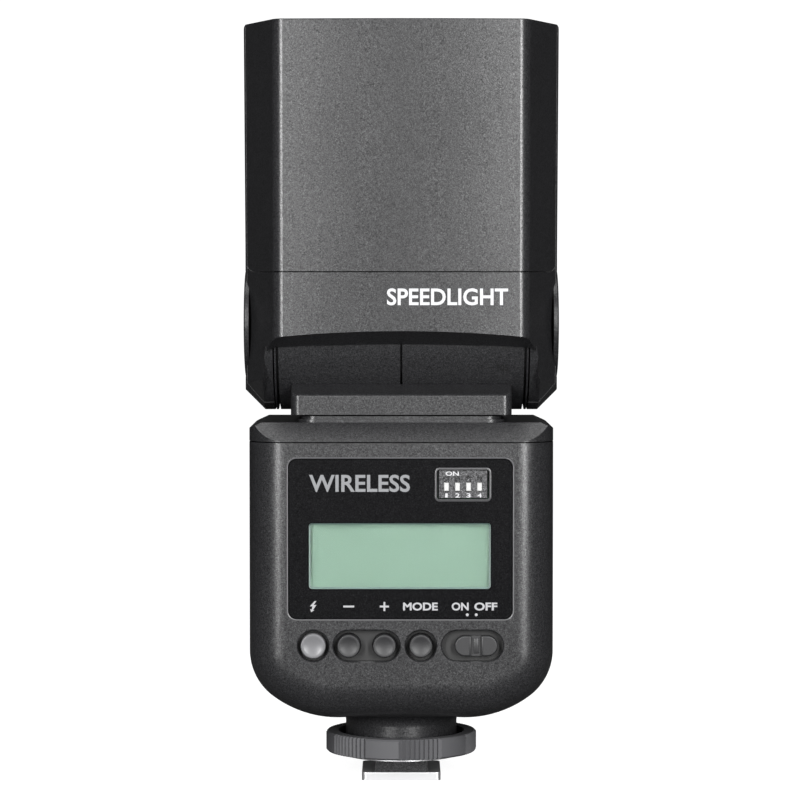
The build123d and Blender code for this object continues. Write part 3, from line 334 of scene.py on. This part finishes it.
finish("pin_steel", (0.50, 0.50, 0.51), 0.25, grain_size=3000.0, bump=0.03, metallic=1.0, painted_glint_lift=0.1)
finish("contact_gold", (0.78, 0.56, 0.25), 0.28, grain_size=3000.0, bump=0.03, metallic=1.0, painted_glint_lift=0.1)
finish("cell_steel", (0.58, 0.58, 0.60), 0.28, grain_size=1800.0, bump=0.04, metallic=1.0, painted_glint_lift=0.1)
finish("mirror_sheet", (0.85, 0.85, 0.86), 0.12, grain_size=900.0, bump=0.05, metallic=1.0, patch=0.04)
finish("sensor_red", (0.07, 0.003, 0.004), 0.12, grain_size=900.0, bump=0.02, painted_glint_lift=0.1, patch=0.04)
finish("legend_white", (0.29, 0.29, 0.30), 0.45, grain_size=6000.0, bump=0.03, painted_glint_lift=0.05)
finish("legend_grey", (0.155, 0.158, 0.165), 0.45, grain_size=6000.0, bump=0.03, painted_glint_lift=0.05)
finish("legend_bright", (0.42, 0.42, 0.43), 0.45, grain_size=6000.0, bump=0.03, painted_glint_lift=0.05)
finish("legend_black", (0.004, 0.004, 0.004), 0.5, grain_size=6000.0, bump=0.03, painted_glint_lift=0.05)
print("finishes", len(bpy.data.materials))

# %% [markdown]
# The display is a reflective liquid crystal with nothing switched on: pale green, with the faint mottling of
# the reflector behind the cells. It is painted a little darker towards its top and lighter towards its lower
# edge, a painted shade under the upper edge of its recess. The gradient runs along Z between the display's
# own edges.

# %% Display finish
display = finish(
    "display_green", (0.080, 0.165, 0.168), 0.40, grain_size=1500.0, bump=0.02, painted_glint_lift=0.0,
    speckle=0.05,
)
tree = display.node_tree
low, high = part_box("display_module")
place = tree.nodes.new("ShaderNodeTexCoord").outputs["Object"]
split = tree.nodes.new("ShaderNodeSeparateXYZ")
join(tree, place, split.inputs["Vector"])
# painted shade: darker towards the display's top, lighter towards its lower edge
painted_shade_ramp = tree.nodes.new("ShaderNodeMapRange")
join(tree, split.outputs["Z"], painted_shade_ramp.inputs["Value"])
painted_shade_ramp.inputs["From Min"].default_value = low[2]
painted_shade_ramp.inputs["From Max"].default_value = high[2]
painted_shade_ramp.inputs["To Min"].default_value = 1.06
painted_shade_ramp.inputs["To Max"].default_value = 0.96
tone = tree.nodes.new("ShaderNodeMix")
tone.data_type = "RGBA"
tone.blend_type = "MULTIPLY"
tone.inputs["Factor"].default_value = 1.0
shader = tree.nodes["Principled BSDF"]
join(tree, shader.inputs["Base Color"].links[0].from_socket, tone.inputs["A"])
shade = tree.nodes.new("ShaderNodeCombineColor")
for channel in ("Red", "Green", "Blue"):
    join(tree, painted_shade_ramp.outputs["Result"], shade.inputs[channel])
join(tree, shade.outputs["Color"], tone.inputs["B"])
join(tree, tone.outputs["Result"], shader.inputs["Base Color"])
print("display nodes", len(tree.nodes))

# %% [markdown]
# Clear pieces keep a plain Transmission Weight of one. Only their roughness and a slight bump vary, so the
# window over the display, the quartz tube and the acrylic panels stay bright.

# %% Clear finishes
def clear_finish(name, tint, rough, bump, grain_size=400.0, ior=1.49):
    """A clear plastic or glass, with a faint waviness."""
    material = finish(name, tint, rough, grain_size=grain_size, bump=bump, painted_glint_lift=0.0, patch=rough * 0.5)
    shader = material.node_tree.nodes["Principled BSDF"]
    shader.inputs["Transmission Weight"].default_value = 1.0
    shader.inputs["IOR"].default_value = ior


clear_finish("window_clear", (0.95, 0.98, 0.96), 0.03, 0.01, ior=1.12)
clear_finish("lens_clear", (0.97, 0.98, 0.98), 0.06, 0.03)
clear_finish("quartz", (0.96, 0.97, 0.98), 0.03, 0.01)
clear_finish("panel_clear", (0.97, 0.98, 0.98), 0.10, 0.05)
print("finishes with the clear ones", len(bpy.data.materials))

# %% [markdown]
# Each node of the frame now gets the finish of the real part it stands for. One table says which finish goes
# on which nodes, so a node that nobody dressed shows up in the last line.

# %% Put the finishes on the CAD nodes
wearing = {
    "casing_plastic": "shoe_pedestal body_rear_cover body_front_cover body_top_cap battery_door shoe_base "
                      "swivel_base drum_cover_left drum_cover_right head_rear_panel head_lower_cover "
                      "head_front_cover hinge_caps lens_frame",
    "panel_black": "control_overlay",
    "well_black": "keypad_plate",
    "key_rubber": "minus_button plus_button mode_button power_switch",
    "test_key_plastic": "test_button",
    "ring_plastic": "lock_ring",
    "display_green": "display_module",
    "switch_black": "selector_block",
    "switch_white": "selector_slider_1 selector_slider_2 selector_slider_3 selector_slider_4",
    "inner_black": "battery_tray card_guide swivel_retainer tact_switches light_sensor tube_holders "
                   "trigger_coil sync_jack",
    "rubber_black": "jack_cover",
    "board_green": "main_board trigger_board",
    "winding_tape": "charge_transformer",
    "capacitor_sleeve": "main_capacitor",
    "card_white": "bounce_card",
    "foot_metal": "shoe_foot clamp_plate",
    "dark_steel": "body_screws head_screws foot_screws",
    "pin_steel": "door_pin tilt_axle tilt_detents",
    "contact_gold": "centre_contact door_contacts tray_contacts",
    "cell_steel": "battery_cells",
    "mirror_sheet": "reflector",
    "sensor_red": "sensor_window",
    "window_clear": "screen_window",
    "lens_clear": "flash_lens",
    "quartz": "flash_tube",
    "panel_clear": "wide_panel",
}
dressed = set()
for material_name, members in wearing.items():
    for node in members.split():
        nodes[node].data.materials.clear()
        nodes[node].data.materials.append(bpy.data.materials[material_name])
        dressed.add(node)
print("undressed nodes", sorted(set(nodes) - dressed))

# %% [markdown]
# The pieces that the CAD model leaves to this script are built below in millimetres, in the model's own
# frame. Each is scaled to metres when it is finished, rides on the body that it belongs to and takes one of
# the finishes above.

# %% Piece maker
def piece(name, mesh, body, finish_name, crease=35):
    """Turns a mesh drawn in millimetres into a finished piece that rides on a body."""
    bmesh.ops.recalc_face_normals(mesh, faces=mesh.faces)
    bmesh.ops.scale(mesh, vec=(MM, MM, MM), verts=mesh.verts)
    data = bpy.data.meshes.new(name)
    mesh.to_mesh(data)
    mesh.free()
    for face in data.polygons:
        face.use_smooth = True
    data.set_sharp_from_angle(angle=math.radians(crease))
    data.materials.append(bpy.data.materials[finish_name])
    made = bpy.data.objects.new(name, data)
    bpy.context.scene.collection.objects.link(made)
    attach(made, body)
    print(name, "faces", len(data.polygons))
    return made


def in_mm(node):
    """The lowest and highest corner of a CAD node, in millimetres."""
    return [[v / MM for v in corner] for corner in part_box(node)]


PRINT = 0.04  # how far printed ink stands proud


def plate(mesh, points):
    """A flat printed shape with this outline in X and Z, on y = 0 and facing the operator."""
    face = mesh.faces.new([mesh.verts.new((x, 0, z)) for x, z in points])
    made = bmesh.ops.extrude_face_region(mesh, geom=[face])["geom"]
    bmesh.ops.translate(mesh, verts=verts_of(made), vec=(0, -PRINT, 0))


def bar(mesh, x, z, width, height):
    plate(mesh, [(x + a * width / 2, z + b * height / 2) for a, b in ((-1, -1), (1, -1), (1, 1), (-1, 1))])


def dot(mesh, x, z, radius, sides=24):
    turns = [2 * math.pi * i / sides for i in range(sides)]
    plate(mesh, [(x + radius * math.cos(t), z + radius * math.sin(t)) for t in turns])


def words(mesh, text, low, high, weight=0.03):
    """Printed lettering that fills the box between two corners in X and Z."""
    curve = bpy.data.curves.new("words", "FONT")
    curve.body = text
    curve.extrude = 0.5
    curve.offset = weight
    curve.resolution_u = 4
    holder = bpy.data.objects.new("words", curve)
    bpy.context.scene.collection.objects.link(holder)
    flat = bpy.data.meshes.new_from_object(holder)
    bpy.data.objects.remove(holder)
    old = set(mesh.verts)
    mesh.from_mesh(flat)
    fresh = [v for v in mesh.verts if v not in old]
    spans = [(min(v.co[i] for v in fresh), max(v.co[i] for v in fresh)) for i in (0, 1)]
    for v in fresh:
        x, z = (
            low[i] + (v.co[i] - spans[i][0]) / (spans[i][1] - spans[i][0]) * (high[i] - low[i])
            for i in (0, 1)
        )
        v.co = (x, -PRINT * (v.co.z + 0.5), z)


def lay_on(mesh, skin):
    """Moves a flat print onto a surface. skin gives the surface's y for an x and a z."""
    for v in mesh.verts:
        v.co.y += skin(v.co.x, v.co.z)


# %% [markdown]
# The panel is printed from behind in light grey: an arrow-shaped spark for the test flash, a minus, a plus,
# the word for the mode button, and ON and OFF over the two ends of the power switch, with a dot for each.

# %% Captions on the panel
panel_y = in_mm("control_overlay")[0][1]
label_z, label_half = 43.0, 0.93  # middle and half height of the captions
stroke, minus_span, plus_span = 0.42, 2.5, 2.1
plus_arm = (plus_span - stroke) / 2
captions = bmesh.new()
test_x, minus_x, plus_x = (
    sum(corner[0] for corner in in_mm(key)) / 2 for key in ("test_button", "minus_button", "plus_button")
)
spark = (
    (0.35, 1.25), (-0.75, 0.05), (-0.15, 0.05), (-0.35, -0.75), (-0.7, -0.55), (-0.45, -1.3),
    (0.3, -0.85), (-0.02, -0.8), (0.75, 0.35), (0.12, 0.35), (0.75, 1.25),
)
plate(captions, [(test_x + x, label_z + z) for x, z in spark])
bar(captions, minus_x, label_z, minus_span, stroke)
bar(captions, plus_x, label_z, plus_span, stroke)
for side in (-1, 1):
    bar(captions, plus_x, label_z + side * (stroke + plus_arm) / 2, stroke, plus_arm)
for text, left, right in (("MODE", 0.4, 8.4), ("ON", 11.6, 15.5), ("OFF", 16.8, 22.1)):
    words(captions, text, (left, label_z - label_half), (right, label_z + label_half))
dot_z, dot_radius = 41.1, 0.34
for x in (15.2, 17.25):
    dot(captions, x, dot_z, dot_radius)
lay_on(captions, lambda x, z: panel_y)
piece("panel_captions", captions, "body", "legend_white")

title = bmesh.new()
words(title, "WIRELESS", (-21.2, 69.4), (2.0, 73.4), weight=0.02)
lay_on(title, lambda x, z: panel_y)
piece("panel_title", title, "body", "legend_grey")

# %% [markdown]
# The head carries a word too. Its rear face is crowned: it falls away from the middle on a large radius, so
# the letters are laid on that curve. The drum has black marks for two of its click stops.

# %% Print on the head and the drum
head_rear_y = in_mm("head_rear_panel")[0][1]
crown_rise, crown_half = 1.2, 29.0
crown_radius = (crown_half ** 2 + crown_rise ** 2) / (2 * crown_rise)
head_word = bmesh.new()
words(head_word, "SPEEDLIGHT", (-3.3, 112.3), (24.5, 116.2), weight=0.02)
lay_on(head_word, lambda x, z: head_rear_y + crown_radius - math.sqrt(crown_radius ** 2 - x ** 2))
piece("head_word", head_word, "head", "legend_bright")

drum_low, drum_high = in_mm("drum_cover_right")
drum_axis_z = (drum_low[2] + drum_high[2]) / 2
drum_radius = (drum_high[2] - drum_low[2]) / 2
marks = bmesh.new()
mark_half, mark_right = 0.8, 24.9
for text, z, tick_x, left in (("90", 102.7, 21.4, 22.9), ("105", 97.8, 20.9, 22.3)):
    bar(marks, tick_x, z, 1.2, 0.22)
    words(marks, text, (left, z - mark_half), (mark_right, z + mark_half))
lay_on(marks, lambda x, z: -math.sqrt(drum_radius ** 2 - (z - drum_axis_z) ** 2))
piece("drum_marks", marks, "swivel", "legend_black")

# %% [markdown]
# The four-way selector is a small switch block with its own print: ON above the first slider and the numbers
# of the four sliders below.

# %% Print on the selector
block_y = in_mm("selector_block")[0][1]
slider_xs = [sum(corner[0] for corner in in_mm(f"selector_slider_{i}")) / 2 for i in (1, 2, 3, 4)]
digits = bmesh.new()
words(digits, "ON", (slider_xs[0] - 0.2, 73.1), (slider_xs[1] + 0.3, 74.1), weight=0.02)
for number, x in enumerate(slider_xs, 1):
    half = 0.28 if number == 1 else 0.5  # a 1 is narrow
    words(digits, str(number), (x - half, 68.1), (x + half, 69.05), weight=0.02)
lay_on(digits, lambda x, z: block_y)
piece("selector_print", digits, "body", "legend_bright")

# %% [markdown]
# A thin rounded edge runs round the panel where the casing meets it. Its pale grey is a painted highlight of
# that edge. It is a closed loop of five rounded rectangles of different sizes, joined ring by ring.

# %% Bead round the panel
def rounded_loop(mesh, low, high, radius, grow, y, steps=8):
    """A ring of vertices along a rounded rectangle, grown by a distance."""
    ring = []
    corners = (
        (high[0] - radius, high[1] - radius, 0),
        (low[0] + radius, high[1] - radius, 90),
        (low[0] + radius, low[1] + radius, 180),
        (high[0] - radius, low[1] + radius, 270),
    )
    for x, z, first in corners:
        for i in range(steps + 1):
            turn = math.radians(first + 90 * i / steps)
            ring.append(mesh.verts.new((
                x + (radius + grow) * math.cos(turn), y, z + (radius + grow) * math.sin(turn),
            )))
    return ring


def frame_piece(name, low, high, radius, section, finish_name):
    """A closed frame round a rounded rectangle. section gives how far each ring is grown, and its y."""
    mesh = bmesh.new()
    rings = [rounded_loop(mesh, low, high, radius, grow, y) for grow, y in section]
    for one, two in zip(rings, rings[1:] + rings[:1]):
        for i, v in enumerate(one):
            j = (i + 1) % len(one)
            mesh.faces.new((v, one[j], two[j], two[i]))
    piece(name, mesh, "body", finish_name)


panel_low, panel_high = in_mm("control_overlay")
casing_y = in_mm("body_rear_cover")[0][1]
frame_piece(
    "panel_bead", (panel_low[0], panel_low[2]), (panel_high[0], panel_high[2]), 1.9,
    [(0.42, casing_y + 0.02), (0.26, casing_y - 0.05), (0.10, casing_y), (0.05, casing_y + 0.2),
     (0.3, casing_y + 0.2)],
    "bead_painted_highlight",
)

# %% [markdown]
# The selector's window has a raised bezel. The display's window shows its polished edge as a pale line, a
# painted highlight.

# %% Bezel and window edge
frame_piece(
    "selector_bezel", (7.8, 67.3), (20.6, 74.9), 1.0,
    [(0.12, panel_y), (-0.02, panel_y - 0.08), (-0.30, panel_y - 0.08), (-0.45, panel_y + 0.1),
     (-0.45, panel_y + 0.5), (0.0, panel_y + 0.5)],
    "bezel_grey",
)
glass_y = in_mm("screen_window")[0][1]
# painted highlight: a pale ring inside the display window's edge
frame_piece(
    "window_highlight_line", (-21.3, 47.0), (20.6, 62.2), 0.8,
    [(-0.06, glass_y - 0.03), (-0.06, glass_y - 0.12), (-0.34, glass_y - 0.06),
     (-0.34, glass_y - 0.03)],
    "window_painted_highlight",
)

# %% [markdown]
# The keys are dished, so that a thumb finds them. Each cap is a profile spun round its own axis: the hollow
# face, a rounded rim, the shank through the keypad plate and the flange that keeps it in.

# %% Dished keys
flange_width, flange_height, rim_width = 0.6, 0.8, 0.45
dish_floor, dish_depth, dish_steps = 0.36, 0.34, 6


def key_cap(node, body, finish_name):
    """A round key with a hollow face, in place of a plain CAD key."""
    low, high = in_mm(node)
    x, z = (low[0] + high[0]) / 2, (low[2] + high[2]) / 2
    flange_r = (high[0] - low[0]) / 2
    r = flange_r - flange_width
    rim = r - rim_width
    shares = [i / dish_steps for i in range(dish_steps + 1)]
    dish = [(rim * share, low[1] + dish_floor - dish_depth * share ** 2) for share in shares]
    edge = [(r - 0.2, low[1] + 0.06), (r - 0.05, low[1] + 0.22), (r, low[1] + 0.5)]
    flange_y = high[1] - flange_height
    stem = [(r, flange_y), (flange_r, flange_y), (flange_r, high[1]), (0, high[1])]
    mesh = bmesh.new()
    line = [mesh.verts.new((x + a, y, z)) for a, y in dish + edge + stem]
    ends = [mesh.edges.new(pair) for pair in zip(line, line[1:])]
    bmesh.ops.spin(mesh, geom=line + ends, cent=(x, 0, z), axis=(0, 1, 0), angle=2 * math.pi, steps=48)
    bmesh.ops.remove_doubles(mesh, verts=mesh.verts, dist=1e-4)
    made = piece(node + "_cap", mesh, body, finish_name)
    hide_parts(node)


key_cap("test_button", "test_key", "test_key_plastic")
key_cap("minus_button", "minus_key", "key_rubber")
key_cap("plus_button", "plus_key", "key_rubber")
key_cap("mode_button", "mode_key", "key_rubber")

# %% [markdown]
# A low ridge for the fingernail stands in the power switch's channel, and a fine rib runs along each of the
# channel's edges.

# %% Ridges on the power switch
knob_low, knob_high = in_mm("power_switch")
ridge = bmesh.new()
knob_x, knob_z = (knob_low[0] + knob_high[0]) / 2, (knob_low[2] + knob_high[2]) / 2
edge_x, edge_size = 1.42, (0.34, 0.34, 4.2)
for x, y, size in ((0, 0.95, (1.1, 0.75, 3.5)), (-edge_x, 0.03, edge_size), (edge_x, 0.03, edge_size)):
    rib = bmesh.ops.create_cube(ridge, size=1.0)["verts"]
    bmesh.ops.scale(ridge, vec=size, verts=rib)
    bmesh.ops.translate(ridge, verts=rib, vec=(knob_x + x, knob_low[1] + y, knob_z))
    bmesh.ops.bevel(
        ridge, geom=list({e for v in rib for e in v.link_edges}), offset=0.12, offset_type="OFFSET",
        segments=2, profile=0.5, affect="EDGES", material=-1,
    )
piece("knob_ridge", ridge, "power_knob", "key_rubber")

# %% [markdown]
# Each screw has a cross recess. The head's face starts as a cross inside a circle, bridged together. The
# cross is then pushed in with its edges drawn together, and the circle is pulled back to make the side.

# %% Screws with a cross recess
def cross_screw(mesh, place, outward, head_radius, head_height, shank_radius, shank_length):
    """A pan-head screw whose face is centred on a point and faces outward."""
    old = set(mesh.verts)
    arm, half = head_radius * 0.62, head_radius * 0.16  # reach and half width of the cross
    corner = ((half, half), (half, arm), (-half, arm))
    cross_points = []
    for quarter in range(4):
        c, s = round(math.cos(quarter * math.pi / 2)), round(math.sin(quarter * math.pi / 2))
        cross_points += [(a * c - b * s, a * s + b * c) for a, b in corner]
    cross = [mesh.verts.new((a, b, 0)) for a, b in cross_points]
    recess = mesh.faces.new(cross)
    circle = bmesh.ops.create_circle(mesh, segments=36, radius=head_radius)["verts"]
    rim = list({e for v in circle for e in v.link_edges})
    bmesh.ops.bridge_loops(mesh, edges=list(recess.edges) + rim)
    floor = verts_of(bmesh.ops.extrude_face_region(mesh, geom=[recess])["geom"])
    bmesh.ops.scale(mesh, vec=(0.7, 0.7, 1), verts=floor)
    bmesh.ops.translate(mesh, verts=floor, vec=(0, 0, -head_height * 0.6))
    if recess.is_valid:
        bmesh.ops.delete(mesh, geom=[recess], context="FACES_ONLY")
    edge_ring = [e for e in rim if e.is_valid]
    for radius, drop in ((head_radius, head_height), (shank_radius, 0.0), (shank_radius, shank_length)):
        made = bmesh.ops.extrude_edge_only(mesh, edges=edge_ring)["geom"]
        verts = verts_of(made)
        edge_ring = [g for g in made if isinstance(g, bmesh.types.BMEdge)]
        now = math.hypot(verts[0].co.x, verts[0].co.y)
        bmesh.ops.scale(mesh, vec=(radius / now, radius / now, 1), verts=verts)
        bmesh.ops.translate(mesh, verts=verts, vec=(0, 0, -drop))
    bmesh.ops.contextual_create(mesh, geom=edge_ring)
    turn = Vector((0, 0, 1)).rotation_difference(Vector(outward)).to_matrix().to_4x4()
    fresh = [v for v in mesh.verts if v not in old]
    bmesh.ops.transform(mesh, matrix=Matrix.Translation(place) @ turn, verts=fresh)


def screw_set(node, body, places, outward, *sizes):
    """A screw at each place, all in one piece, in place of a CAD node."""
    mesh = bmesh.new()
    for place in places:
        cross_screw(mesh, place, outward, *sizes)
    made = piece(node + "_crossed", mesh, body, "dark_steel")
    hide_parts(node)


cover_head, foot_head = 1.9, 1.5  # radius of the heads
low, high = in_mm("body_screws")
side_x, upper_z, lower_z = high[0] - cover_head, high[2] - cover_head, low[2] + cover_head
screw_set(
    "body_screws", "body",
    [(-side_x, high[1], upper_z), (side_x, high[1], upper_z), (-side_x, high[1], lower_z)],
    (0, 1, 0), cover_head, 1.5, 1.1, 38.0,
)
low, high = in_mm("head_screws")
screw_set(
    "head_screws", "head",
    [(side * (high[0] - cover_head), high[1], (low[2] + high[2]) / 2) for side in (-1, 1)],
    (0, 1, 0), cover_head, 1.5, 1.1, 27.0,
)
low, high = in_mm("foot_screws")
screw_set(
    "foot_screws", "body",
    [(a * (high[0] - foot_head), b * (high[1] - foot_head), low[2]) for a in (-1, 1) for b in (-1, 1)],
    (0, 0, -1), foot_head, 1.1, 0.8, 6.0,
)

# %% [markdown]
# The lens at the end of the head is an acrylic plate with fine prisms on its inside, which spread the light.
# Its cross-section, a saw-tooth under a flat top, is drawn once and extruded across the head.

# %% Prism lens
lens_low, lens_high = in_mm("flash_lens")
prism_pitch, prism_depth, corner_cut = 0.9, 0.55, 0.25
count = int((lens_high[1] - lens_low[1] - 2.0) / prism_pitch)
start = (lens_high[1] + lens_low[1] - count * prism_pitch) / 2
section = [
    (lens_high[1], lens_high[2] - corner_cut), (lens_high[1] - corner_cut, lens_high[2]),
    (lens_low[1] + corner_cut, lens_high[2]), (lens_low[1], lens_high[2] - corner_cut),
    (lens_low[1], lens_low[2]),
]
for i in range(count):
    section.append((start + i * prism_pitch, lens_low[2]))
    section.append((start + (i + 0.5) * prism_pitch, lens_low[2] + prism_depth))
section += [(start + count * prism_pitch, lens_low[2]), (lens_high[1], lens_low[2])]
lens = bmesh.new()
face = lens.faces.new([lens.verts.new((lens_low[0], y, z)) for y, z in section])
made = bmesh.ops.extrude_face_region(lens, geom=[face])["geom"]
bmesh.ops.translate(lens, verts=verts_of(made), vec=(lens_high[0] - lens_low[0], 0, 0))
prism_lens = piece("prism_lens", lens, "head", "lens_clear", crease=20)
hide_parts("flash_lens")
